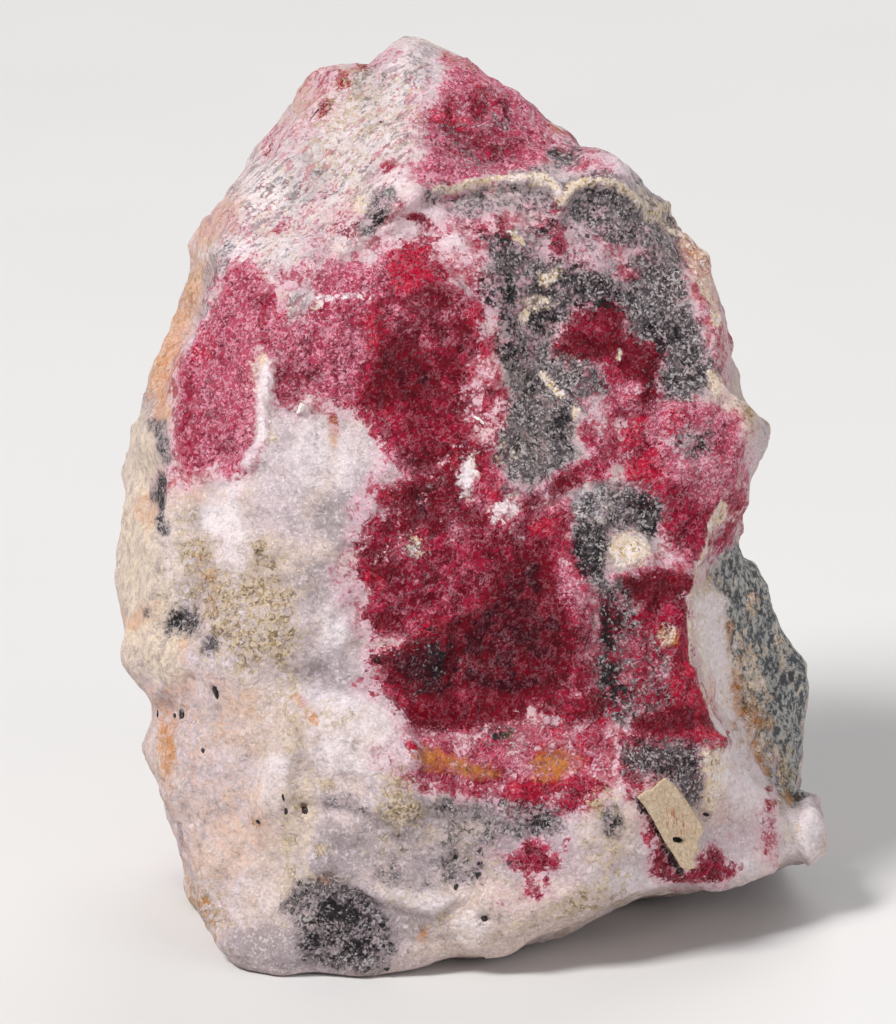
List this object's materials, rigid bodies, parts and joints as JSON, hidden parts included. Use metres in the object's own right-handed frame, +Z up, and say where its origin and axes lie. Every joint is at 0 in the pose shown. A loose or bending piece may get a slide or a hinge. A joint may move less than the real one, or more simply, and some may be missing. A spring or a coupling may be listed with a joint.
{
  "type": "tugtupite specimen",
  "caption": "Broken hand specimen of crimson tugtupite in white and lavender albite with grey and black minerals, standing upright on a flat patch of its underside.",
  "frame": {"origin": "on the surface the rock stands on, below the middle of its bounding box", "axes": "+Z up, +X to the right of someone facing the display face, +Y into the rock; the display face looks along -Y and leans back 18 degrees"},
  "size_m": [0.0658, 0.0544, 0.0768],
  "materials": {
    "rock": "broken crystalline rock, crimson and maroon in sugary white, with grey and black patches, mostly matt with small glints"
  },
  "bodies": {
    "root": {"tugtupite_rock": "rock"}
  },
  "joints": []
}
